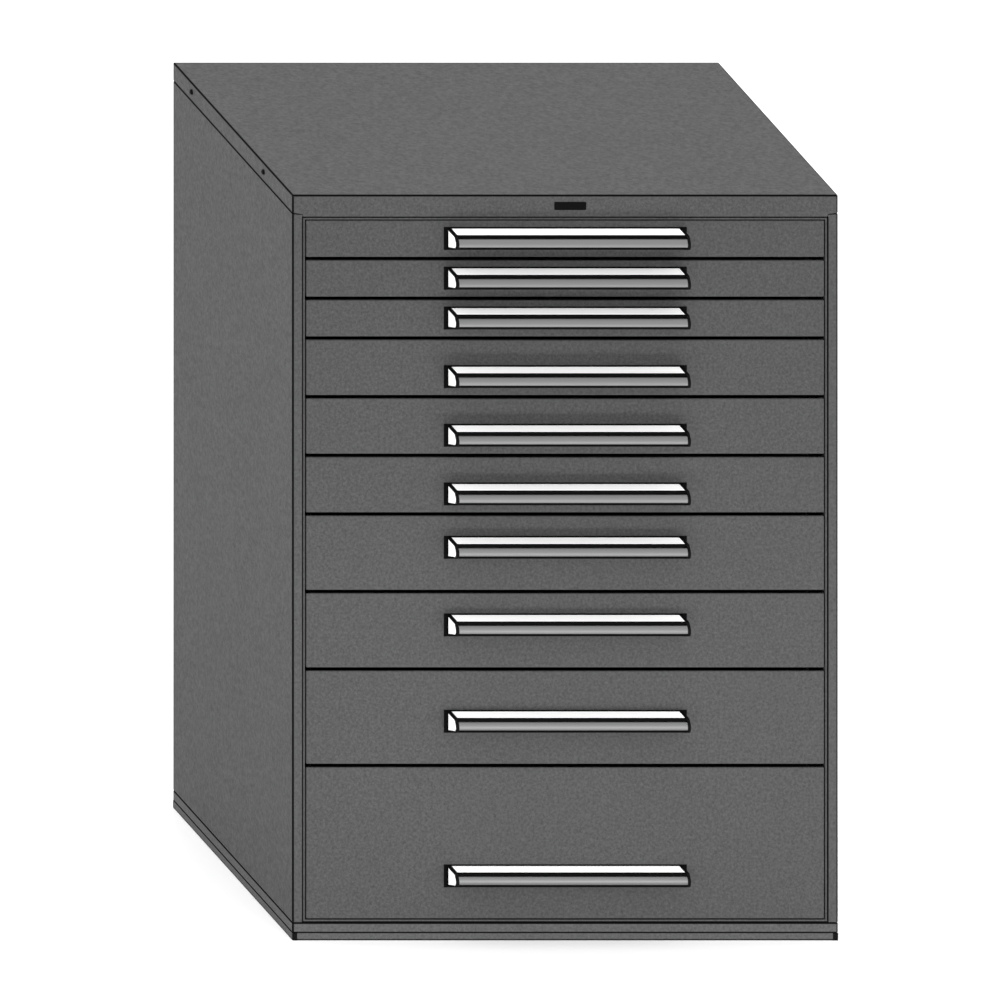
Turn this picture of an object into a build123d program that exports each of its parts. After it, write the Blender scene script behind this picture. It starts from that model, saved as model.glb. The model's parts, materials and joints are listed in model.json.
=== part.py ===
"""Eye-level steel drawer cabinet with ten graduated, full-extension drawers.

Frame: millimetres, +Z up, +X to the right, the drawers open towards -Y. The origin is on the
floor, under the middle of the whole object's box. Drawers are numbered from the top.

The housing is a base frame, a floor pan, two side panels with the front posts folded on, a back
panel and a top cover. Slotted uprights inside the side panels carry the fixed slide channels.
Each drawer is a box with two rails, a folded front, an extruded handle and its end caps. It runs
on a pair of roller carriages, which travel half as far as the drawer does.
"""

import os

from build123d import *

os.makedirs("parts", exist_ok=True)

# ---------------------------------------------------------------- housing
WIDTH = 1098.0
DEPTH = 715.0
HEIGHT = 1500.0
SHEET = 1.5  # housing and drawer front sheet
BEND = 2.6  # outer radius of a folded edge
POST = 20.0  # width of the front posts, and of every return of the side panels
JAMB = 22.0  # depth of the posts' inner return
BASE_HEIGHT = 15.5
PAN_TOP = 36.0
SIDE_TOP = 1463.0
COVER_SKIRT = 35.5
HEADER = 44.5  # height of the cover's front skirt between the posts
TAB_TOP = 1496.0  # the tabs inside the cover's skirts, that its screws hold
SEAM = 1.5  # gap between the cover's front skirt and the posts

# ---------------------------------------------------------------- base
RUNNER_WIDTH = 10.0
RUNNER_SHEET = 1.5
STRIP_SETBACK = 1.0
STRIP_FLANGE = 24.0
ANCHOR_X = 900.0  # hole to hole
ANCHOR_Y = 560.0
ANCHOR_RADIUS = 6.5

# ---------------------------------------------------------------- fasteners and plate
SCREW_RADIUS = 3.0
SCREW_HOLE_RADIUS = 3.2
SCREW_LENGTH = 8.0
HEAD_RADIUS = 5.2
HEAD_HEIGHT = 4.5
SOCKET_RADIUS = 2.0
SOCKET_DEPTH = 1.4
COVER_SCREW_Z = HEIGHT - 17.5
COVER_SCREW_SETBACKS = (171.0, 601.0)  # behind the front
BACK_SCREW_COUNT = 6
BACK_SCREW_END = 60.0  # from the ends of the back panel to the first screws
PLATE_WIDTH = 64.0
PLATE_HEIGHT = 16.0
PLATE_THICKNESS = 1.2
PLATE_OFFSET = 10.0  # to the right of the middle
PLATE_Z = 1478.0

# ---------------------------------------------------------------- drawers
DRAWER_HEIGHTS = (80.0, 80.0, 80.0, 118.0, 118.0, 118.0, 156.0, 156.0, 194.0, 311.0)  # from the top
GRID_TOP = 1451.5
FACE_GAP = 7.0  # between one drawer front and the next
REVEAL = 8.0  # between a drawer front and a post
FRONT_DEPTH = 16.0
FRONT_BEND = 2.0
FRONT_LIP = 3.5  # depth of the fold along a front's top edge
BOX_WIDTH = 1004.0
BOX_DEPTH = 655.0
BOX_SHEET = 1.2
BOX_BOTTOM = 8.0  # above the drawer's grid line
BOX_TOP = 12.4  # below the next grid line
HEM = 10.0
TRAVEL = 620.0

# ---------------------------------------------------------------- slides
SLIDE_Z = 40.0  # the slides' middle above the drawer's grid line
CHANNEL_HEIGHT = 28.0
CHANNEL_SHEET = 1.5
RAIL_WIDTH = 13.0
RAIL_START = 25.0  # behind the front
RAIL_LENGTH = 632.0
FIXED_WIDTH = 12.0
FIXED_START = 26.0
FIXED_LENGTH = 660.0
CARRIAGE_X = 517.0  # inner face of the carriage's plate
CARRIAGE_SHEET = 2.0
CARRIAGE_HEIGHT = 22.0
CARRIAGE_START = 27.0
CARRIAGE_LENGTH = 620.0
ROLLER_RADIUS = 12.0
ROLLER_WIDTH = 10.5
ROLLER_GAP = 0.5  # between a roller and the plate
PIN_RADIUS = 4.0
PIN_LENGTH = 11.5
PIN_HEAD_RADIUS = 6.5
PIN_HEAD_HEIGHT = 0.8
BORE_RADIUS = 4.05
INNER_ROLLERS = (20.0, 290.0)  # behind the carriage's front end, in the drawer's rail
OUTER_ROLLERS = (330.0, 600.0)  # in the fixed channel
UPRIGHT_X = 533.0
UPRIGHT_WIDTH = 40.0
UPRIGHT_SETBACKS = (50.0, 655.0)  # the middles of the uprights, behind the front
SLOT_WIDTH = 16.0
SLOT_HEIGHT = 5.0
SLOT_PITCH = 38.0

# ---------------------------------------------------------------- handle
HANDLE_LENGTH = 472.0
HANDLE_HEIGHT = 39.6
HANDLE_WALL = 2.4
SHELF_REACH = 41.0
GROOVE_TOP = 2.6  # the groove under the shelf's front edge
GROOVE_BOTTOM = 5.2
GROOVE_BACK = 37.5
NOSE_REACH = 38.0  # centre of the rounded nose, out from the drawer front
NOSE_DROP = 15.0  # and below the handle's top
NOSE_RADIUS = 12.5
LIP_ANGLE = 250.5  # where the nose ends, turning from the drawer's side
CAP_THICKNESS = 6.0
CAP_MARGIN = 0.6
INLAY_INSET = 3.0
INLAY_DEPTH = 1.0
LOW_HANDLE_TOP = 61.0  # above the grid line
HIGH_HANDLE_TOP = 109.5
HIGH_HANDLE_FROM = 150.0  # drawers taller than this have the high place

# ---------------------------------------------------------------- places
HALF_WIDTH = WIDTH / 2
OPENING = HALF_WIDTH - POST
HANDLE_REACH = NOSE_REACH + NOSE_RADIUS + CAP_MARGIN
FRONT = HANDLE_REACH - (HANDLE_REACH + DEPTH + HEAD_HEIGHT) / 2
BACK = FRONT + DEPTH
MIDDLE = (FRONT + BACK) / 2
COVER_BOTTOM = HEIGHT - COVER_SKIRT
HEADER_BOTTOM = HEIGHT - HEADER
SKIN = HALF_WIDTH - SHEET  # inner face of the side panels


def grid_line(index):
    """Height of the grid line under a drawer."""
    return GRID_TOP - sum(DRAWER_HEIGHTS[: index + 1])


def handle_top(index):
    """Height of a handle's top."""
    is_high = DRAWER_HEIGHTS[index] > HIGH_HANDLE_FROM
    return grid_line(index) + (HIGH_HANDLE_TOP if is_high else LOW_HANDLE_TOP)


def save(name, shape):
    """Labels a finished piece and writes its STEP file."""
    shape.label = name
    export_step(shape, f"parts/{name}.step")


def group(name, shapes):
    """Writes several separate solids as one node."""
    solids = [solid for shape in shapes for solid in shape.solids()]
    save(name, Compound(label=name, children=solids))


# ================================================================ housing
def base_frame():
    """Two side runners, open at their ends, joined by a front and a rear strip."""
    with BuildPart() as frame:
        with BuildSketch(Plane.XZ.offset(-FRONT)):
            with Locations((HALF_WIDTH - RUNNER_WIDTH / 2, BASE_HEIGHT / 2)):
                Rectangle(RUNNER_WIDTH, BASE_HEIGHT)
            inner_height = BASE_HEIGHT - 2 * RUNNER_SHEET
            with Locations((HALF_WIDTH - RUNNER_WIDTH / 2 - RUNNER_SHEET, BASE_HEIGHT / 2)):
                Rectangle(RUNNER_WIDTH, inner_height, mode=Mode.SUBTRACT)
        extrude(amount=-DEPTH)
        fillet(frame.edges().filter_by(Axis.Y).group_by(Axis.X)[-1], radius=RUNNER_SHEET * 0.7)
        mirror(about=Plane.YZ)
        strip_width = WIDTH - 2 * RUNNER_WIDTH
        for y, direction in ((FRONT + STRIP_SETBACK, 1), (BACK - STRIP_SETBACK, -1)):
            with BuildSketch(Plane.XY):
                with Locations((0, y + direction * RUNNER_SHEET / 2)):
                    Rectangle(strip_width, RUNNER_SHEET)
            extrude(amount=BASE_HEIGHT)
            with BuildSketch(Plane.XY.offset(BASE_HEIGHT - RUNNER_SHEET)):
                with Locations((0, y + direction * STRIP_FLANGE / 2)):
                    Rectangle(strip_width, STRIP_FLANGE)
            extrude(amount=RUNNER_SHEET)
    save("base_frame", frame.part)


def floor_pan():
    """The cabinet's floor, folded down all round and in again at the bottom."""
    with BuildPart() as pan:
        with BuildSketch(Plane.XY.offset(BASE_HEIGHT)):
            with Locations((0, MIDDLE)):
                Rectangle(WIDTH, DEPTH)
        extrude(amount=PAN_TOP - BASE_HEIGHT)
        fillet(pan.edges(), radius=BEND)
        offset(amount=-SHEET, mode=Mode.SUBTRACT)
        with BuildSketch(Plane.XY.offset(BASE_HEIGHT)):
            with Locations((0, MIDDLE)):
                Rectangle(WIDTH - 2 * POST, DEPTH - 2 * POST)
        extrude(amount=2 * SHEET, mode=Mode.SUBTRACT)
        with BuildSketch(Plane.XY.offset(PAN_TOP)):
            with Locations((0, MIDDLE)):
                with GridLocations(ANCHOR_X, ANCHOR_Y, 2, 2):
                    Circle(ANCHOR_RADIUS)
        extrude(amount=-2 * SHEET, mode=Mode.SUBTRACT)
    save("floor_pan", pan.part)


def back_screw_heights():
    """Heights of the screws up each side of the back panel."""
    low = PAN_TOP + BACK_SCREW_END
    step = (SIDE_TOP - BACK_SCREW_END - low) / (BACK_SCREW_COUNT - 1)
    return [low + step * i for i in range(BACK_SCREW_COUNT)]


def side_panels():
    """A pan with a return on every side, the jamb behind its post, and the cover's tab."""
    with BuildPart() as right:
        with BuildSketch(Plane.XY.offset(PAN_TOP)):
            with Locations((HALF_WIDTH - POST / 2, MIDDLE)):
                Rectangle(POST, DEPTH)
        extrude(amount=SIDE_TOP - PAN_TOP)
        open_face = right.faces().sort_by(Axis.X)[0]
        fillet(right.edges() - open_face.edges(), radius=BEND)
        offset(amount=-SHEET, openings=right.faces().sort_by(Axis.X)[0])
        with BuildSketch(Plane.XY.offset(PAN_TOP + SHEET)):
            with Locations((OPENING + SHEET / 2, FRONT + JAMB / 2)):
                Rectangle(SHEET, JAMB)
        extrude(amount=SIDE_TOP - 2 * SHEET - PAN_TOP)
        with BuildSketch(Plane.XY.offset(SIDE_TOP - SHEET)):
            with Locations((SKIN - SHEET / 2, MIDDLE)):
                Rectangle(SHEET, DEPTH - POST)
        extrude(amount=TAB_TOP - SIDE_TOP + SHEET)
        with BuildSketch(Plane.XZ.offset(-FRONT)):
            with BuildLine():
                Polyline(
                    (HALF_WIDTH, SIDE_TOP - SHEET / 4),
                    (OPENING, SIDE_TOP - 2 * SHEET),
                    (OPENING, SIDE_TOP + SHEET),
                    (HALF_WIDTH, SIDE_TOP + SHEET),
                    close=True,
                )
            make_face()
        extrude(amount=-BEND, mode=Mode.SUBTRACT)
        with BuildSketch(Plane.YZ.offset(HALF_WIDTH)):
            with Locations(*[(FRONT + s, COVER_SCREW_Z) for s in COVER_SCREW_SETBACKS]):
                Circle(SCREW_HOLE_RADIUS)
        extrude(amount=-3 * SHEET, mode=Mode.SUBTRACT)
        with BuildSketch(Plane.XZ.offset(-BACK)):
            with Locations(*[(HALF_WIDTH - POST / 2, z) for z in back_screw_heights()]):
                Circle(SCREW_HOLE_RADIUS)
        extrude(amount=2 * SHEET, mode=Mode.SUBTRACT)
    with BuildPart() as left:
        mirror(right.part, about=Plane.YZ)
    save("right_side_panel", right.part)
    save("left_side_panel", left.part)


def back_panel():
    """A flat sheet behind the side panels' rear returns, with a tongue at its top and bottom."""
    tongue_width = 2 * OPENING - 2 * SHEET
    with BuildPart() as back:
        with BuildSketch(Plane.XZ.offset(-(BACK - SHEET))) as outline:
            low, high = PAN_TOP + 2 * SHEET, SIDE_TOP - 2 * SHEET
            with Locations((0, (low + high) / 2)):
                Rectangle(2 * (SKIN - SHEET), high - low)
            with Locations((0, (PAN_TOP + HEIGHT - POST / 2) / 2)):
                Rectangle(tongue_width, HEIGHT - POST / 2 - PAN_TOP)
            for x in (-(HALF_WIDTH - POST / 2), HALF_WIDTH - POST / 2):
                with Locations(*[(x, z) for z in back_screw_heights()]):
                    Circle(SCREW_HOLE_RADIUS, mode=Mode.SUBTRACT)
        extrude(amount=SHEET)
    save("back_panel", back.part)


def top_cover():
    """A cap folded down on four sides. Its front skirt is deeper, as the header over the drawers."""
    with BuildPart() as cover:
        with BuildSketch(Plane.XY.offset(COVER_BOTTOM)):
            with Locations((0, MIDDLE)):
                Rectangle(WIDTH, DEPTH)
        extrude(amount=COVER_SKIRT)
        open_face = cover.faces().sort_by(Axis.Z)[0]
        fillet(cover.edges() - open_face.edges(), radius=BEND)
        offset(amount=-SHEET, openings=cover.faces().sort_by(Axis.Z)[0])
        with BuildSketch(Plane.XZ.offset(-FRONT)):
            with BuildLine():
                Polyline(
                    (0, COVER_BOTTOM + SHEET),
                    (HALF_WIDTH - BEND, COVER_BOTTOM + SHEET),
                    (HALF_WIDTH - BEND, COVER_BOTTOM - SHEET / 4),
                    (OPENING, SIDE_TOP - 2 * SHEET + SEAM),
                    (OPENING - BEND, HEADER_BOTTOM),
                    (0, HEADER_BOTTOM),
                    close=True,
                )
            make_face()
            mirror(about=Plane.YZ)
        extrude(amount=-SHEET)
        with BuildSketch(Plane.XY.offset(HEADER_BOTTOM)):
            with Locations((0, FRONT + JAMB / 2)):
                Rectangle(2 * (OPENING - BEND), JAMB)
        extrude(amount=SHEET)
        header_edge = cover.edges().filter_by(Axis.X).group_by(Axis.Z)[0].sort_by(Axis.Y)[0]
        fillet(header_edge, radius=SHEET * 0.8)
        for side in (1, -1):
            with BuildSketch(Plane.YZ.offset(side * HALF_WIDTH)):
                with Locations(*[(FRONT + s, COVER_SCREW_Z) for s in COVER_SCREW_SETBACKS]):
                    Circle(SCREW_HOLE_RADIUS)
            extrude(amount=-side * 2 * SHEET, mode=Mode.SUBTRACT)
    save("top_cover", cover.part)


def uprights():
    """Four slotted channels that stand inside the side panels and carry the fixed slides."""
    depth = SKIN - UPRIGHT_X
    low, high = PAN_TOP + BEND, SIDE_TOP - BEND
    made = []
    for setback in UPRIGHT_SETBACKS:
        with BuildPart() as upright:
            with BuildSketch(Plane.XY.offset(low)):
                with Locations((UPRIGHT_X + depth / 2, FRONT + setback)):
                    Rectangle(depth, UPRIGHT_WIDTH)
                with Locations((UPRIGHT_X + depth / 2 + SHEET, FRONT + setback)):
                    Rectangle(depth, UPRIGHT_WIDTH - 2 * SHEET, mode=Mode.SUBTRACT)
            extrude(amount=high - low)
            with BuildSketch(Plane.YZ.offset(UPRIGHT_X)):
                with Locations((FRONT + setback, (low + high) / 2)):
                    with GridLocations(0, SLOT_PITCH, 1, int((high - low) / SLOT_PITCH)):
                        Rectangle(SLOT_WIDTH, SLOT_HEIGHT)
            extrude(amount=2 * SHEET, mode=Mode.SUBTRACT)
        with BuildPart() as opposite:
            mirror(upright.part, about=Plane.YZ)
        made += [upright.part, opposite.part]
    group("uprights", made)


def channel(x_web, x_tip, middle_z, start, length):
    """A C-shaped channel along Y, with its web at x_web and its flanges reaching x_tip."""
    opens = 1 if x_tip > x_web else -1
    with BuildPart() as made:
        with BuildSketch(Plane.XZ.offset(-(FRONT + start))):
            with Locations(((x_web + x_tip) / 2, middle_z)):
                Rectangle(abs(x_tip - x_web), CHANNEL_HEIGHT)
            with Locations(((x_web + x_tip) / 2 + opens * CHANNEL_SHEET, middle_z)):
                inner_height = CHANNEL_HEIGHT - 2 * CHANNEL_SHEET
                Rectangle(abs(x_tip - x_web), inner_height, mode=Mode.SUBTRACT)
        extrude(amount=-length)
    return made.part


def slide_channels():
    """The fixed channels on the uprights: a pair for each drawer."""
    made = []
    for index in range(len(DRAWER_HEIGHTS)):
        middle_z = grid_line(index) + SLIDE_Z
        for side in (1, -1):
            web, tip = side * UPRIGHT_X, side * (UPRIGHT_X - FIXED_WIDTH)
            made.append(channel(web, tip, middle_z, FIXED_START, FIXED_LENGTH))
    group("slide_channels", made)


def screw(plane):
    """A button-head screw whose head stands on the plane, with its shank behind it."""
    with BuildPart() as made:
        with BuildSketch(plane):
            Circle(HEAD_RADIUS)
        extrude(amount=HEAD_HEIGHT)
        outer_face = made.faces().sort_by(Axis(plane.origin, plane.z_dir))[-1]
        fillet(outer_face.edges(), radius=HEAD_HEIGHT * 0.6)
        with BuildSketch(plane.offset(HEAD_HEIGHT)):
            RegularPolygon(SOCKET_RADIUS, 6)
        extrude(amount=-SOCKET_DEPTH, mode=Mode.SUBTRACT)
        with BuildSketch(plane):
            Circle(SCREW_RADIUS)
        extrude(amount=-SCREW_LENGTH)
    return made.part


def housing_screws():
    """The cover's screws on both sides, and the back panel's up both rear returns."""
    made = []
    for side in (1, -1):
        for setback in COVER_SCREW_SETBACKS:
            place = (side * HALF_WIDTH, FRONT + setback, COVER_SCREW_Z)
            made.append(screw(Plane(origin=place, z_dir=(side, 0, 0))))
        for z in back_screw_heights():
            place = (side * (HALF_WIDTH - POST / 2), BACK, z)
            made.append(screw(Plane(origin=place, z_dir=(0, 1, 0))))
    group("housing_screws", made)


def name_plate():
    """A blank plate on the header."""
    with BuildPart() as plate:
        with BuildSketch(Plane.XZ.offset(-FRONT)):
            with Locations((PLATE_OFFSET, PLATE_Z)):
                RectangleRounded(PLATE_WIDTH, PLATE_HEIGHT, 2)
        extrude(amount=PLATE_THICKNESS)
        chamfer(plate.faces().sort_by(Axis.Y)[0].edges(), length=PLATE_THICKNESS / 3)
    save("name_plate", plate.part)


# ================================================================ drawers
def drawer_front(index):
    """A folded face: full returns at the sides and bottom, and a narrow lip at the top."""
    low = grid_line(index) + FACE_GAP / 2
    high = low + DRAWER_HEIGHTS[index] - FACE_GAP
    with BuildPart() as front:
        with BuildSketch(Plane.XZ.offset(-FRONT)):
            with Locations((0, (low + high) / 2)):
                Rectangle(2 * (OPENING - REVEAL), high - low)
        extrude(amount=-FRONT_DEPTH)
        open_face = front.faces().sort_by(Axis.Y)[-1]
        fillet(front.edges() - open_face.edges(), radius=FRONT_BEND)
        offset(amount=-SHEET, openings=front.faces().sort_by(Axis.Y)[-1])
        with BuildSketch(Plane.XY.offset(high)):
            with Locations((0, FRONT + FRONT_LIP + FRONT_DEPTH / 2)):
                Rectangle(2 * OPENING, FRONT_DEPTH)
        extrude(amount=-FRONT_BEND, mode=Mode.SUBTRACT)
    save(f"drawer_{index + 1:02d}_front", front.part)


def drawer_box(index):
    """The open box with a hemmed rim, and the rails welded to its sides."""
    low = grid_line(index) + BOX_BOTTOM
    high = grid_line(index) + DRAWER_HEIGHTS[index] - BOX_TOP
    box_middle = FRONT + SHEET + BOX_DEPTH / 2
    with BuildPart() as box:
        with BuildSketch(Plane.XY.offset(low)):
            with Locations((0, box_middle)):
                Rectangle(BOX_WIDTH, BOX_DEPTH)
        extrude(amount=high - low)
        offset(amount=-BOX_SHEET, openings=box.faces().sort_by(Axis.Z)[-1])
        with BuildSketch(Plane.XY.offset(high - HEM)):
            with Locations((0, box_middle)):
                Rectangle(BOX_WIDTH, BOX_DEPTH)
                inset = 4 * BOX_SHEET
                Rectangle(BOX_WIDTH - inset, BOX_DEPTH - inset, mode=Mode.SUBTRACT)
        extrude(amount=HEM)
    middle_z = grid_line(index) + SLIDE_Z
    rails = []
    for side in (1, -1):
        web, tip = side * BOX_WIDTH / 2, side * (BOX_WIDTH / 2 + RAIL_WIDTH)
        rails.append(channel(web, tip, middle_z, RAIL_START, RAIL_LENGTH))
    group(f"drawer_{index + 1:02d}_box", [box.part, *rails])


def nose_point(radius, angle):
    """A point of the handle's rounded nose, in the plane of its section."""
    return Vector(-NOSE_REACH, -NOSE_DROP) + Vector(radius, 0).rotate(Axis.Z, angle)


def groove_angle():
    """Where the nose starts, just under the groove."""
    drop = (NOSE_DROP - GROOVE_BOTTOM) / NOSE_RADIUS
    return 180 - Vector(1, 0).get_angle(Vector((1 - drop**2) ** 0.5, drop))


def handle_plane(x, top):
    """The plane of a handle's section: its axes are +Y and +Z, from the handle's top edge."""
    return Plane(origin=(x, FRONT, top), x_dir=(0, 1, 0), z_dir=(1, 0, 0))


def handle_extrusion(top, length):
    """A back plate, a flat shelf, a groove and a rounded lip that the fingers go behind."""
    inner_radius = NOSE_RADIUS - HANDLE_WALL
    start = groove_angle()
    groove_floor = GROOVE_BOTTOM + HANDLE_WALL
    with BuildPart() as extrusion:
        with BuildSketch(handle_plane(-length / 2, top)):
            with BuildLine():
                Polyline(
                    (-HANDLE_WALL, -groove_floor),
                    (-HANDLE_WALL, -HANDLE_HEIGHT),
                    (0, -HANDLE_HEIGHT),
                    (0, 0),
                    (-SHELF_REACH, 0),
                    (-SHELF_REACH, -GROOVE_TOP),
                    (-GROOVE_BACK, -GROOVE_TOP),
                    (-GROOVE_BACK, -GROOVE_BOTTOM),
                    nose_point(NOSE_RADIUS, start),
                )
                centre = (-NOSE_REACH, -NOSE_DROP)
                CenterArc(centre, NOSE_RADIUS, start, LIP_ANGLE - start)
                Line(nose_point(NOSE_RADIUS, LIP_ANGLE), nose_point(inner_radius, LIP_ANGLE))
                CenterArc(centre, inner_radius, start, LIP_ANGLE - start)
                Polyline(
                    nose_point(inner_radius, start),
                    (HANDLE_WALL - GROOVE_BACK, -groove_floor),
                    (HANDLE_WALL - GROOVE_BACK, -GROOVE_TOP),
                    (-HANDLE_WALL, -GROOVE_TOP),
                    (-HANDLE_WALL, -groove_floor),
                )
            make_face()
        extrude(amount=length)
    return extrusion.part


def end_outline(grow):
    """The handle's closed outline in its section, grown all round but flat on the drawer front."""
    start = groove_angle()
    with BuildSketch() as outline:
        with BuildLine():
            Polyline(
                nose_point(NOSE_RADIUS, LIP_ANGLE),
                (-HANDLE_WALL, -HANDLE_HEIGHT),
                (0, -HANDLE_HEIGHT),
                (0, 0),
                (-SHELF_REACH, 0),
                nose_point(NOSE_RADIUS, start),
            )
            CenterArc((-NOSE_REACH, -NOSE_DROP), NOSE_RADIUS, start, LIP_ANGLE - start)
        make_face()
        offset(amount=grow, kind=Kind.INTERSECTION)
        with Locations((HANDLE_HEIGHT / 2, -HANDLE_HEIGHT / 2)):
            Rectangle(HANDLE_HEIGHT, 2 * HANDLE_HEIGHT, mode=Mode.SUBTRACT)
    return outline.sketch


def end_plate(plane, grow, thickness):
    """A flat plate with the handle's closed outline."""
    with BuildPart() as plate:
        with BuildSketch(plane):
            add(end_outline(grow))
        extrude(amount=thickness)
    return plate.part


def handle(index):
    """The extrusion with the bright inlays of its two ends, and the end caps."""
    top = handle_top(index)
    half = HANDLE_LENGTH / 2
    inlays, caps = [], []
    for side in (1, -1):
        inner = half - CAP_THICKNESS if side == 1 else -half
        pocket = half - INLAY_DEPTH if side == 1 else -half
        plane, pocket_plane = handle_plane(inner, top), handle_plane(pocket, top)
        with BuildPart() as cap:
            add(end_plate(plane, CAP_MARGIN, CAP_THICKNESS))
            add(end_plate(pocket_plane, -INLAY_INSET, INLAY_DEPTH), mode=Mode.SUBTRACT)
        caps.append(cap.part)
        inlays.append(end_plate(pocket_plane, -INLAY_INSET, INLAY_DEPTH))
    extrusion = handle_extrusion(top, HANDLE_LENGTH - 2 * CAP_THICKNESS)
    group(f"drawer_{index + 1:02d}_handle", [extrusion, *inlays])
    group(f"drawer_{index + 1:02d}_handle_caps", caps)


def carriages(index):
    """On each side a plate with four pins, and a roller on each pin."""
    middle_z = grid_line(index) + SLIDE_Z
    plate_start = FRONT + CARRIAGE_START
    outer_face = CARRIAGE_X + CARRIAGE_SHEET
    made = []
    with BuildPart() as plate:
        with BuildSketch(Plane.YZ.offset(CARRIAGE_X)):
            with Locations((plate_start + CARRIAGE_LENGTH / 2, middle_z)):
                RectangleRounded(CARRIAGE_LENGTH, CARRIAGE_HEIGHT, CARRIAGE_HEIGHT / 4)
        extrude(amount=CARRIAGE_SHEET)
        for face_x, outward, places in (
            (CARRIAGE_X, -1, INNER_ROLLERS),
            (outer_face, 1, OUTER_ROLLERS),
        ):
            centres = [(plate_start + y, middle_z) for y in places]
            with BuildSketch(Plane.YZ.offset(face_x)):
                with Locations(*centres):
                    Circle(PIN_RADIUS)
            extrude(amount=outward * PIN_LENGTH)
            with BuildSketch(Plane.YZ.offset(face_x)):
                with Locations(*centres):
                    Circle(PIN_HEAD_RADIUS)
            extrude(amount=-outward * (CARRIAGE_SHEET + PIN_HEAD_HEIGHT))
    made.append(plate.part)
    for face_x, outward, places in (
        (CARRIAGE_X, -1, INNER_ROLLERS),
        (outer_face, 1, OUTER_ROLLERS),
    ):
        for y in places:
            with BuildPart() as roller:
                with BuildSketch(Plane.YZ.offset(face_x + outward * ROLLER_GAP)):
                    with Locations((plate_start + y, middle_z)):
                        Circle(ROLLER_RADIUS)
                        Circle(BORE_RADIUS, mode=Mode.SUBTRACT)
                extrude(amount=outward * ROLLER_WIDTH)
            made.append(roller.part)
    for shape in list(made):
        with BuildPart() as opposite:
            mirror(shape, about=Plane.YZ)
        made.append(opposite.part)
    group(f"drawer_{index + 1:02d}_carriages", made)


base_frame()
floor_pan()
side_panels()
back_panel()
top_cover()
uprights()
slide_channels()
housing_screws()
name_plate()
for drawer in range(len(DRAWER_HEIGHTS)):
    drawer_front(drawer)
    drawer_box(drawer)
    handle(drawer)
    carriages(drawer)
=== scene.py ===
"""Looks for the drawer cabinet: materials, small details, the floor, the light and the camera."""
import json

import bmesh
import bpy
from mathutils import Matrix, Vector

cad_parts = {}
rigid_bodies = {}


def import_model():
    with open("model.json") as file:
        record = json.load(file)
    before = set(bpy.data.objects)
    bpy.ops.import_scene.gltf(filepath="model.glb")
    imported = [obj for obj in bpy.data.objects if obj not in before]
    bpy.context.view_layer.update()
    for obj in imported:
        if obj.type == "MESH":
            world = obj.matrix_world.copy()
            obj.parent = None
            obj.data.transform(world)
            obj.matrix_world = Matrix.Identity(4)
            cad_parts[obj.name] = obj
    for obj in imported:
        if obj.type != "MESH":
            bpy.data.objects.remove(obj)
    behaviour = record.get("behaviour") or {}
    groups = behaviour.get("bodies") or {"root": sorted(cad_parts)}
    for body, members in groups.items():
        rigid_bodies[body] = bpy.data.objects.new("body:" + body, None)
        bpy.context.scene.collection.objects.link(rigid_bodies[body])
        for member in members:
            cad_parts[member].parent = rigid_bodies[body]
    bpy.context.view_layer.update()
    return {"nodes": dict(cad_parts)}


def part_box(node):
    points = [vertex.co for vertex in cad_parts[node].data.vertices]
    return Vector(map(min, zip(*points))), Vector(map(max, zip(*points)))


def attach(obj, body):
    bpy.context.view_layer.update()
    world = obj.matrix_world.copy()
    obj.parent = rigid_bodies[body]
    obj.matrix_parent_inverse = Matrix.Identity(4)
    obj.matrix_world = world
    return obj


for stray in list(bpy.data.objects):
    bpy.data.objects.remove(stray)

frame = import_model()

scene = bpy.context.scene
scene.view_settings.view_transform = "Standard"
scene.view_settings.look = "None"
scene.view_settings.exposure = 0.0
scene.view_settings.gamma = 1.0

# ---------------------------------------------------------------- places, in metres
# X runs across the cabinet, -Y is its front and Z is up.
DRAWERS = [f"drawer_{i:02d}" for i in range(1, 11)]
FRONT_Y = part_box("top_cover")[0].y
BACK_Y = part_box("top_cover")[1].y
HALF_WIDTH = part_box("top_cover")[1].x
TOP_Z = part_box("top_cover")[1].z
HEADER_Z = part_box("top_cover")[0].z
SKIRT_Z = TOP_Z - 0.0355  # the bottom of the cover's side and back skirts
PAN_TOP_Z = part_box("floor_pan")[1].z
BASE_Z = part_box("base_frame")[1].z
OPENING_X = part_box("right_side_panel")[0].x

RUNNER_X = 0.5385  # the base frame's two runners lie outside this
PLUG_X = (0.5392, 0.5475)  # the inside of a runner's channel
SHEET = 0.0015
CAP = 0.006  # the thickness of a handle's end cap
INLAY_ZONE = 0.0015  # a handle's end inlays lie within this of its two ends
SHELF = 0.041  # the depth of a handle's shelf
NOSE_Y = FRONT_Y - 0.03  # a handle's rounded nose is in front of this

# Outlines of (y, z), measured from the top front edge of a handle's shelf.
SHADE_STRIP_OUTLINE = (
    (0.0034, -0.0027),
    (-0.0001, -0.0027),
    (-0.0001, 0.0),
    (0.0050, 0.0),
    (0.0050, 0.0004),
    (0.0046, 0.0006),
    (-0.0007, 0.0006),
    (-0.0011, 0.0002),
    (-0.0011, -0.0046),
    (-0.0004, -0.0050),
    (0.0034, -0.0051),
)
CARD_OUTLINE = ((0.0392, 0.0), (0.0392, 0.0003), (0.0052, 0.0003), (0.0052, 0.0))
SHADE_STRIP_END_GAP = 0.0002
CARD_END_GAP = 0.0012

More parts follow.
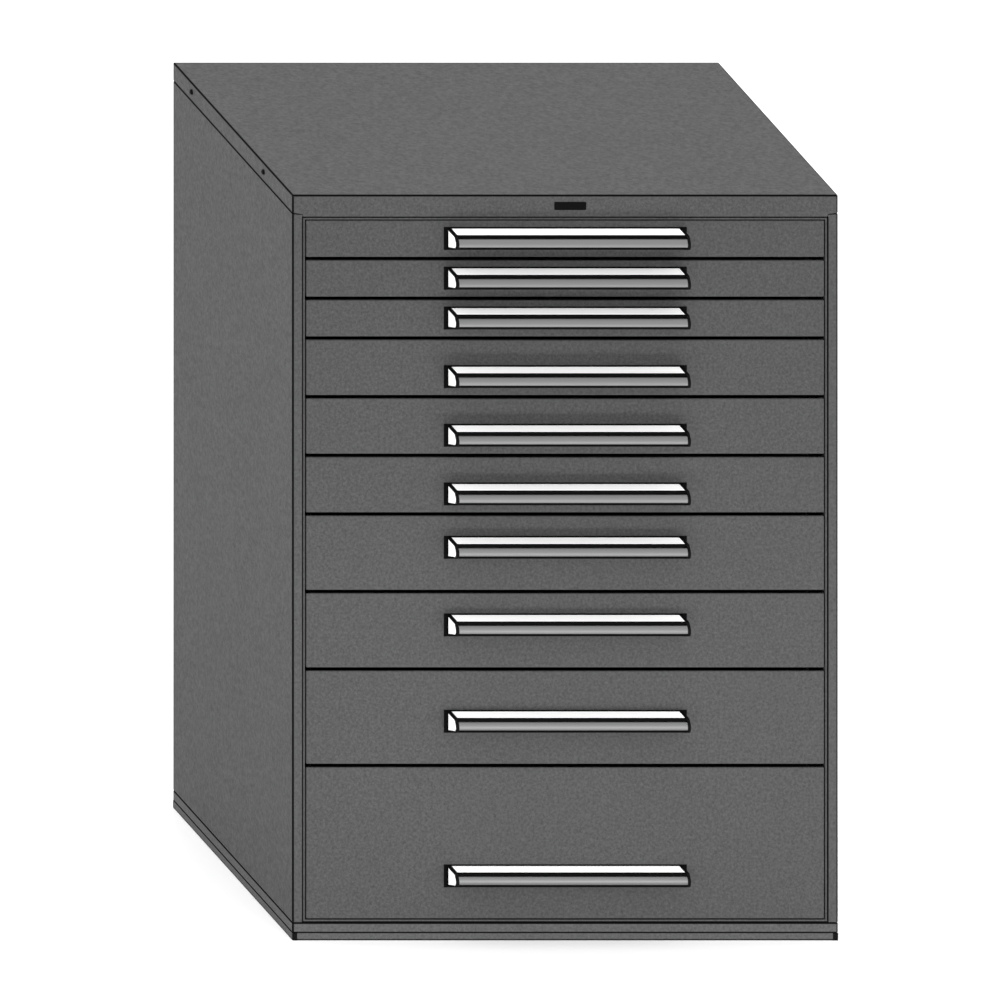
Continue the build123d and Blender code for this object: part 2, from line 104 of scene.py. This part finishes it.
# Profiles of (distance out, y), with y measured from the front.
BACKING_PROFILE = (
    (0.0002, 0.0),
    (0.0002, -0.0010),
    (0.0005, -0.0013),
    (0.0020, -0.0013),
    (0.0024, -0.0009),
    (0.0025, 0.0),
)
BACKING_THICKNESS = 0.0013
BACKING_MARGIN = 0.0006  # above and below the handle
TAB_MARGIN = 0.0031
TAB_X = (0.0026, 0.0082)  # measured out from the handle's end
LINING_PROFILE = (
    (-0.0003, 0.0150),
    (-0.0003, 0.0138),
    (-0.0022, 0.0138),
    (-0.0022, 0.0014),
    (-0.0026, 0.0010),
    (-0.0049, 0.0010),
    (-0.0053, 0.0014),
    (-0.0053, 0.0150),
)
PLUG_PROFILE = ((0.0004, 0.0003), (0.0, 0.0008), (0.0, 0.0123))  # (inset, depth)

# ---------------------------------------------------------------- materials
PAINT_LEVEL = 0.051
# How far the paint is darkened along edges and seams, a painted shade.
EDGE_PAINTED_SHADE = 0.96
PAINTED_LIGHT_GLOW = 0.28  # a painted light: a glow that keeps the white faces white in the shade of the handle above


class Paint:
    """Builds a node material from left to right."""

    def __init__(self, name):
        self.material = bpy.data.materials.new(name)
        self.material.use_nodes = True
        self.tree = self.material.node_tree
        self.shader = self.tree.nodes["Principled BSDF"]
        self.place = self.node("ShaderNodeTexCoord").outputs["Object"]

    def node(self, kind, **settings):
        made = self.tree.nodes.new(kind)
        for key, value in settings.items():
            setattr(made, key, value)
        return made

    def link(self, source, target):
        self.tree.links.new(source, target)

    def stretched(self, x, y, z):
        """Object coordinates, scaled along each axis."""
        mapping = self.node("ShaderNodeMapping")
        mapping.inputs["Scale"].default_value = (x, y, z)
        self.link(self.place, mapping.inputs["Vector"])
        return mapping.outputs["Vector"]

    def noise(self, vector, scale, detail=2.0, roughness=0.5):
        made = self.node("ShaderNodeTexNoise")
        made.inputs["Scale"].default_value = scale
        made.inputs["Detail"].default_value = detail
        made.inputs["Roughness"].default_value = roughness
        self.link(vector, made.inputs["Vector"])
        return made.outputs["Fac"]

    def spangle(self, scale):
        """The distance to the nearest of many scattered points."""
        made = self.node("ShaderNodeTexVoronoi")
        made.inputs["Scale"].default_value = scale
        self.link(self.place, made.inputs["Vector"])
        return made.outputs["Distance"]

    def spread(self, value, low, high, start=0.3, end=0.7):
        """A value from the middle of a texture's range, spread over low to high."""
        made = self.node("ShaderNodeMapRange")
        made.inputs["From Min"].default_value = start
        made.inputs["From Max"].default_value = end
        made.inputs["To Min"].default_value = low
        made.inputs["To Max"].default_value = high
        self.link(value, made.inputs["Value"])
        return made.outputs["Result"]

    def maths(self, operation, *values):
        made = self.node("ShaderNodeMath", operation=operation)
        for socket, value in zip(made.inputs, values):
            if isinstance(value, (int, float)):
                socket.default_value = value
            else:
                self.link(value, socket)
        return made.outputs["Value"]

    def near(self, axis, place, width, mirrored=False):
        """1 where a coordinate is within a width of a place, or of its mirror image, else 0."""
        split = self.node("ShaderNodeSeparateXYZ")
        self.link(self.place, split.inputs["Vector"])
        value = split.outputs[axis]
        if mirrored:
            value = self.maths("ABSOLUTE", value)
        return self.maths("COMPARE", value, place, width)

    def tint(self, colour, factor):
        """A colour, made lighter or darker by a factor near 1."""
        made = self.node("ShaderNodeVectorMath", operation="SCALE")
        made.inputs[0].default_value = colour
        self.link(factor, made.inputs["Scale"])
        return made.outputs["Vector"]

    def bump(self, height, strength, distance, after=None):
        made = self.node("ShaderNodeBump")
        made.inputs["Strength"].default_value = strength
        made.inputs["Distance"].default_value = distance
        self.link(height, made.inputs["Height"])
        if after is not None:
            self.link(after, made.inputs["Normal"])
        return made.outputs["Normal"]

    def finish(self, colour, roughness, normal, metallic=0.0, specular=0.5, glow=0.0):
        self.link(colour, self.shader.inputs["Base Color"])
        self.link(roughness, self.shader.inputs["Roughness"])
        self.link(normal, self.shader.inputs["Normal"])
        self.shader.inputs["Metallic"].default_value = metallic
        self.shader.inputs["Specular IOR Level"].default_value = specular
        self.shader.inputs["Emission Color"].default_value = (1.0, 1.0, 1.0, 1.0)
        self.shader.inputs["Emission Strength"].default_value = glow
        return self.material


def powder_coat(name, level, edges, speckle_scale=180, contrast=0.36):
    """A fine-textured dark grey powder coat: small rounded grains, with a slight mottling.

    Each edge is a group of planes, as (axis, place, width, mirrored). Where all the planes
    of a group are near, the paint is darkened: a painted shade along its edges and seams.
    """
    paint = Paint(name)
    grain = paint.noise(paint.place, scale=620, detail=2.0, roughness=0.55)
    speckle = paint.noise(paint.place, scale=speckle_scale, detail=4.0, roughness=0.75)
    cloud = paint.noise(paint.place, scale=5.0)
    shade = paint.maths(
        "MULTIPLY",
        paint.spread(speckle, 1.0 - contrast, 1.0 + contrast),
        paint.spread(cloud, 0.98, 1.02),
    )
    for edge in edges:
        fade = EDGE_PAINTED_SHADE
        for plane in edge:
            fade = paint.maths("MULTIPLY", paint.near(*plane), fade)
        shade = paint.maths("MULTIPLY", shade, paint.maths("SUBTRACT", 1.0, fade))
    normal = paint.bump(grain, strength=0.40, distance=0.0004)
    return paint.finish(
        paint.tint((level, level, level * 1.005), shade),
        paint.spread(grain, 0.56, 0.72),
        paint.bump(cloud, strength=0.02, distance=0.004, after=normal),
        specular=0.15,
    )


def extruded_aluminium(name, level):
    """Satin anodised aluminium with fine die lines along its length."""
    paint = Paint(name)
    lines = paint.noise(paint.stretched(2.0, 1500.0, 1500.0), scale=1.0, detail=3.0, roughness=0.6)
    broad = paint.noise(paint.stretched(1.2, 220.0, 220.0), scale=1.0)
    shade = paint.maths(
        "MULTIPLY", paint.spread(lines, 0.95, 1.05), paint.spread(broad, 0.97, 1.03)
    )
    return paint.finish(
        paint.tint((level, level, level * 1.01), shade),
        paint.spread(lines, 0.48, 0.60),
        paint.bump(lines, strength=0.10, distance=0.0002),
        metallic=1.0,
    )


def zinc_plate(name, level):
    """Bright zinc-plated steel: a soft spangle and fine rolling marks."""
    paint = Paint(name)
    marks = paint.noise(paint.stretched(1400.0, 12.0, 1400.0), scale=1.0)
    shade = paint.maths(
        "MULTIPLY",
        paint.spread(paint.spangle(120), 0.93, 1.05, start=0.0, end=0.8),
        paint.spread(marks, 0.96, 1.04),
    )
    return paint.finish(
        paint.tint((level, level, level * 1.02), shade),
        paint.spread(marks, 0.26, 0.42),
        paint.bump(marks, strength=0.12, distance=0.0002),
        metallic=1.0,
    )


def plastic(name, colour, roughness, grain_scale, grain_strength, specular, glow=0.0):
    """Plastic, rubber or black oxide with a fine grain. Its roughness is a (low, high) pair."""
    paint = Paint(name)
    grain = paint.noise(paint.place, scale=grain_scale)
    cloud = paint.noise(paint.place, scale=14.0)
    shade = paint.maths(
        "MULTIPLY", paint.spread(grain, 0.96, 1.04), paint.spread(cloud, 0.985, 1.015)
    )
    return paint.finish(
        paint.tint(colour, shade),
        paint.spread(grain, *roughness),
        paint.bump(grain, strength=grain_strength, distance=0.0002),
        specular=specular,
        glow=glow,
    )


def white_card(name):
    """Plain white card with a faint fibre, lifted by a glow of painted light that keeps it white
    in shade.
    """
    paint = Paint(name)
    fibre = paint.noise(
        paint.stretched(300.0, 1400.0, 1400.0), scale=1.0, detail=4.0, roughness=0.65
    )
    cloud = paint.noise(paint.place, scale=30.0)
    shade = paint.maths(
        "MULTIPLY", paint.spread(fibre, 0.985, 1.01), paint.spread(cloud, 0.99, 1.01)
    )
    return paint.finish(
        paint.tint((0.93, 0.93, 0.925), shade),
        paint.spread(fibre, 0.50, 0.66),
        paint.bump(fibre, strength=0.08, distance=0.0001),
        specular=0.3,
        glow=PAINTED_LIGHT_GLOW,
    )


SIDES = ("X", HALF_WIDTH, 0.0034, True)
FRONT = ("Y", FRONT_Y, 0.0034, False)
BACK = ("Y", BACK_Y, 0.0042, False)
TOP = ("Z", TOP_Z, 0.0034, False)
OPENING_WIDTH = ("X", 0.0, OPENING_X, False)
OPENING_HEIGHT = ("Z", (PAN_TOP_Z + HEADER_Z) / 2, (HEADER_Z - PAN_TOP_Z) / 2, False)
HOUSING_SHADED_EDGES = (
    (SIDES, FRONT),
    (SIDES, BACK),
    (SIDES, TOP),
    (FRONT, TOP),
    (BACK, TOP),
    (("Z", SKIRT_Z, 0.0020, False), SIDES),
    (("X", OPENING_X, 0.0011, True), FRONT, OPENING_HEIGHT),
    (("Z", HEADER_Z, 0.0011, False), FRONT, OPENING_WIDTH),
)
FOOT_SHADED_EDGES = (
    (("Z", 0.0, 0.0026, False),),
    (("Z", BASE_Z, 0.0014, False),),
    (("Z", PAN_TOP_Z, 0.0030, False),),
    (SIDES, FRONT),
    (SIDES, BACK),
)
HOUSING = powder_coat("housing_powder_coat", PAINT_LEVEL, HOUSING_SHADED_EDGES)
BROAD_SHADED = powder_coat("housing_powder_coat_broad_shaded", PAINT_LEVEL * 0.95, HOUSING_SHADED_EDGES, 125, 0.48)
# The floor pan and base frame get a lighter copy of the housing's paint, a painted light that
# lifts them low down.
FOOT_LIT = powder_coat("base_powder_coat_painted_light", PAINT_LEVEL * 1.26, FOOT_SHADED_EDGES)
DRAWER = powder_coat("drawer_powder_coat", PAINT_LEVEL * 0.955, ())
ALUMINIUM = extruded_aluminium("handle_aluminium", 0.168)
ZINC = zinc_plate("zinc_plate", 0.30)
CARD = white_card("label_card")
# The white inlays glow with the same painted light as the label cards.
INLAY = plastic("white_inlay", (0.92, 0.92, 0.915), (0.45, 0.55), 900, 0.05, 0.45, PAINTED_LIGHT_GLOW)
# Near black: a painted shade for the housing's bends and seams.
BENDS_PAINTED_SHADE = plastic("housing_bends_painted_shade", (0.003, 0.003, 0.0031), (0.70, 0.85), 620, 0.12, 0.02)
BLACK = plastic("black_cap_plastic", (0.003, 0.003, 0.0032), (0.50, 0.66), 900, 0.15, 0.04)
# Black rubber for the handle backings, and a painted shade for the groove strips and the
# undersides of the handle noses.
RUBBER_AND_PAINTED_SHADE = plastic("black_rubber_and_painted_shade", (0.002, 0.002, 0.002), (0.65, 0.80), 700, 0.12, 0.03)
PLATE = plastic("name_plate_plastic", (0.002, 0.002, 0.0022), (0.30, 0.42), 500, 0.04, 0.03)
SCREW = plastic("black_oxide_steel", (0.003, 0.003, 0.0032), (0.40, 0.54), 1100, 0.10, 0.05)


def main_material(node):
    """The material of most of a CAD node."""
    if node.endswith("_handle"):
        return ALUMINIUM
    if node.endswith("_handle_caps"):
        return BLACK
    if node.endswith("_carriages") or node in ("slide_channels", "uprights"):
        return ZINC
    if node.endswith(("_front", "_box")):
        return DRAWER
    if node in ("floor_pan", "base_frame"):
        return FOOT_LIT
    return {"housing_screws": SCREW, "name_plate": PLATE}.get(node, HOUSING)


def recolour(node, material, chosen):
    """Gives the CAD node's polygons picked by chosen(normal, centre) another material."""
    mesh = frame["nodes"][node].data
    mesh.materials.append(material)
    for polygon in mesh.polygons:
        if chosen(polygon.normal, polygon.center):
            polygon.material_index = len(mesh.materials) - 1


def paint_bend_shade(node, lowest):
    """Paints a node's bends near black above a height, a painted shade along its edges and seams.
    Their faces lean off every axis.
    """
    recolour(
        node,
        BENDS_PAINTED_SHADE,
        lambda normal, centre: max(abs(c) for c in normal) < 0.997 and centre.z > lowest,
    )


def recolour_handle(node):
    """A handle's two end inlays are white, and the downward faces of its nose are painted black: a
    painted shade under the nose.
    """
    inlay_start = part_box(node)[1].x - INLAY_ZONE
    recolour(node, INLAY, lambda normal, centre: abs(centre.x) > inlay_start)
    recolour(
        node,
        RUBBER_AND_PAINTED_SHADE,
        lambda normal, centre: abs(centre.x) < inlay_start
        and normal.z < -0.42
        and centre.y < NOSE_Y,
    )


for node, cad in frame["nodes"].items():
    cad.data.materials.clear()
    cad.data.materials.append(main_material(node))

# The coat is coarser on the housing's large faces, and a little darker there: a painted shade on
# the top and the sides.
for node in ("top_cover", "left_side_panel", "right_side_panel"):
    recolour(node, BROAD_SHADED, lambda normal, centre: abs(normal.y) < 0.5)
for node in ("left_side_panel", "right_side_panel"):
    paint_bend_shade(node, PAN_TOP_Z + 0.003)
for node in ("top_cover", "floor_pan", "base_frame"):
    paint_bend_shade(node, 0.0)
# The open ends of the two runners get the same painted shade as the bends.
recolour(
    "base_frame", BENDS_PAINTED_SHADE, lambda normal, centre: abs(normal.y) > 0.9 and abs(centre.x) > RUNNER_X
)
for drawer in DRAWERS:
    recolour_handle(drawer + "_handle")


# ---------------------------------------------------------------- details
def piece(name, bm, body, material):
    """A new mesh object, which rides on a body."""
    bmesh.ops.recalc_face_normals(bm, faces=bm.faces)
    mesh = bpy.data.meshes.new(name)
    bm.to_mesh(mesh)
    bm.free()
    mesh.materials.append(material)
    made = bpy.data.objects.new(name, mesh)
    scene.collection.objects.link(made)
    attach(made, body)


def bridge(bm, first, second):
    """The faces between two closed loops of as many vertices."""
    count = len(first)
    for i in range(count):
        j = (i + 1) % count
        bm.faces.new((first[i], first[j], second[j], second[i]))


def loop_at(bm, y, corners):
    """A closed loop of vertices at a depth, through (x, z) corners."""
    return [bm.verts.new((x, y, z)) for x, z in corners]


def rectangle(left, right, low, high):
    return (left, low), (right, low), (right, high), (left, high)


def shelf_bar(outline, handle_low, handle_high, end_gap):
    """A bar along a handle's shelf, between its end caps. Its outline is (y, z) points."""
    bm = bmesh.new()
    edge_y, edge_z = FRONT_Y - SHELF, handle_high.z
    ends = [
        [bm.verts.new((x, edge_y + y, edge_z + z)) for y, z in outline]
        for x in (handle_low.x + CAP + end_gap, handle_high.x - CAP - end_gap)
    ]
    bridge(bm, ends[0], ends[1])
    bm.faces.new(ends[0])
    bm.faces.new(list(reversed(ends[1])))
    return bm


def rim(left, right, low, high, profile):
    """A closed ring round a rectangle in the XZ plane. Its profile is (distance out, y) points."""
    bm = bmesh.new()
    rings = [
        loop_at(bm, FRONT_Y + y, rectangle(left - out, right + out, low - out, high + out))
        for out, y in profile
    ]
    for inner, outer in zip(rings, rings[1:] + rings[:1]):
        bridge(bm, inner, outer)
    return bm


def handle_backing(handle_low, handle_high):
    """The black frame on the drawer front, all round a handle's back, with a tab at each end."""
    bm = rim(
        handle_low.x,
        handle_high.x,
        handle_low.z - BACKING_MARGIN,
        handle_high.z + BACKING_MARGIN,
        BACKING_PROFILE,
    )
    for side in (-1, 1):
        inner, outer = (side * (handle_high.x + distance) for distance in TAB_X)
        low, high = handle_low.z - TAB_MARGIN, handle_high.z + TAB_MARGIN
        corners = rectangle(inner, outer, low, high)
        back = loop_at(bm, FRONT_Y, corners)
        front = loop_at(bm, FRONT_Y - BACKING_THICKNESS, corners)
        bm.faces.new(back)
        bm.faces.new(front)
        bridge(bm, back, front)
    return bm


def runner_shade_plugs():
    """Black plugs that close the ends of the two runners, which are open channels; they stand in
    as painted shade for the dark inside of those ends.
    """
    bm = bmesh.new()
    inner, outer = PLUG_X
    for side in (-1, 1):
        for end_y, inward in ((FRONT_Y, 1), (BACK_Y, -1)):
            rings = []
            for inset, depth in PLUG_PROFILE:
                left, right = side * (outer - inset), side * (inner + inset)
                corners = rectangle(left, right, SHEET + inset, BASE_Z - SHEET - inset)
                rings.append(loop_at(bm, end_y + inward * depth, corners))
            bm.faces.new(rings[0])
            bm.faces.new(rings[-1])
            for first, second in zip(rings, rings[1:]):
                bridge(bm, first, second)
    return bm


for drawer in DRAWERS:
    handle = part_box(drawer + "_handle")
    # The black strip fills the groove under the shelf's front edge, and wraps over that edge: a
    # painted shade in that groove.
    strip = shelf_bar(SHADE_STRIP_OUTLINE, *handle, SHADE_STRIP_END_GAP)
    piece(drawer + "_handle_shade_strip", strip, drawer, RUBBER_AND_PAINTED_SHADE)
    piece(drawer + "_handle_backing", handle_backing(*handle), drawer, RUBBER_AND_PAINTED_SHADE)
    # A blank label card lies on the shelf.
    card = shelf_bar(CARD_OUTLINE, *handle, CARD_END_GAP)
    piece(drawer + "_label_card", card, drawer, CARD)

# A folded strip lines the drawer opening. Its hemmed edge shows between housing and drawers.
lining = rim(-OPENING_X, OPENING_X, PAN_TOP_Z, HEADER_Z, LINING_PROFILE)
piece("opening_lining", lining, "cabinet", HOUSING)
piece("runner_shade_plugs", runner_shade_plugs(), "cabinet", BLACK)

# ---------------------------------------------------------------- stage, light and camera
SKY_STRENGTH = 1.75
FLOOR_SIZE = 40.0
FLOOR_DROP = 0.0004  # keeps the floor clear of the base's underside
VIEW_WIDTH = 2.0121
VIEW_CENTRE_X, VIEW_CENTRE_Z = -0.1313, 0.8863
LEFT_PER_DEPTH, UP_PER_DEPTH = 0.336, 0.374
CAMERA_DISTANCE = 4.0


def floor():
    """A plain floor, almost white. Its glow lifts the view's background to white."""
    bm = bmesh.new()
    bmesh.ops.create_grid(bm, x_segments=1, y_segments=1, size=FLOOR_SIZE)
    mesh = bpy.data.meshes.new("floor")
    bm.to_mesh(mesh)
    bm.free()
    paint = Paint("floor_white")
    cloud = paint.noise(paint.place, scale=1.5)
    paint.finish(
        paint.tint((0.75, 0.75, 0.75), paint.spread(cloud, 0.995, 1.005)),
        paint.spread(cloud, 0.85, 0.95),
        paint.bump(cloud, strength=0.0, distance=0.001),
        specular=0.0,
        glow=0.22,
    )
    mesh.materials.append(paint.material)
    made = bpy.data.objects.new("floor", mesh)
    scene.collection.objects.link(made)
    made.location.z = -FLOOR_DROP


def sky():
    """A soft white studio, as bright all round."""
    world = bpy.data.worlds.new("studio")
    scene.world = world
    world.use_nodes = True
    background = world.node_tree.nodes["Background"]
    background.inputs["Color"].default_value = (1.0, 1.0, 1.0, 1.0)
    background.inputs["Strength"].default_value = SKY_STRENGTH


def softbox(name, place, target, size, power):
    light = bpy.data.lights.new(name, "AREA")
    light.shape = "RECTANGLE"
    light.size, light.size_y = size
    light.energy = power
    made = bpy.data.objects.new(name, light)
    scene.collection.objects.link(made)
    made.location = place
    made.visible_camera = False
    made.rotation_mode = "QUATERNION"
    made.rotation_quaternion = (Vector(target) - Vector(place)).to_track_quat("-Z", "Y")


def oblique_camera():
    """A camera that sees the front square on, and the side and the top running back from it.

    Its parent's matrix shears it, so that a point further back moves left and up in the view.
    """
    data = bpy.data.cameras.new("camera")
    data.type = "ORTHO"
    data.ortho_scale = VIEW_WIDTH
    data.clip_start, data.clip_end = 0.05, 60.0
    camera = bpy.data.objects.new("camera", data)
    scene.collection.objects.link(camera)
    holder = bpy.data.objects.new("camera_holder", None)
    scene.collection.objects.link(holder)
    back = Vector((-LEFT_PER_DEPTH, -1.0, UP_PER_DEPTH))
    place = Vector((VIEW_CENTRE_X, FRONT_Y, VIEW_CENTRE_Z)) + back * CAMERA_DISTANCE
    camera.parent = holder
    camera.matrix_parent_inverse = Matrix(
        (
            (1, 0, back.x, place.x),
            (0, 0, back.y, place.y),
            (0, 1, back.z, place.z),
            (0, 0, 0, 1),
        )
    )
    scene.camera = camera


floor()
sky()
softbox("fill", place=(0.0, -2.0, 0.12), target=(0.0, 0.0, 0.12), size=(3.0, 0.25), power=26.0)
oblique_camera()
